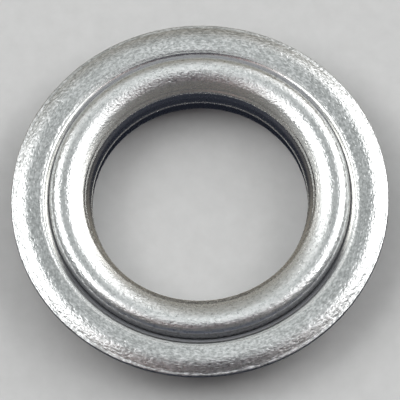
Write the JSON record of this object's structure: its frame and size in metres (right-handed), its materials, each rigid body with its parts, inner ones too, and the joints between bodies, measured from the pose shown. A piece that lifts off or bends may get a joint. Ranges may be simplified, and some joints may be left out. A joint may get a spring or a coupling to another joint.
{
  "type": "grommet eyelet",
  "caption": "Set sheet-metal grommet: an eyelet with its barrel end rolled over a domed washer, making a smooth round hole through cloth for a cord, hook or rod.",
  "frame": {"origin": "on the grommet's axis, in the plane of the face flange's flat ring that it lies on", "axes": "+Z along the axis from the face flange to the rolled end; X and Y are arbitrary because the part is round, with -Y towards the viewer"},
  "size_m": [0.021, 0.021, 0.0033],
  "materials": {
    "satin_nickel_eyelet": "satin nickel plate over drawn sheet, fine orange-peel grain, burnished in the bore",
    "satin_nickel_washer": "satin nickel plate over stamped sheet, fine orange-peel grain, smooth on the dished inner slope"
  },
  "bodies": {
    "root": {"eyelet": "satin_nickel_eyelet", "washer": "satin_nickel_washer"}
  },
  "joints": []
}
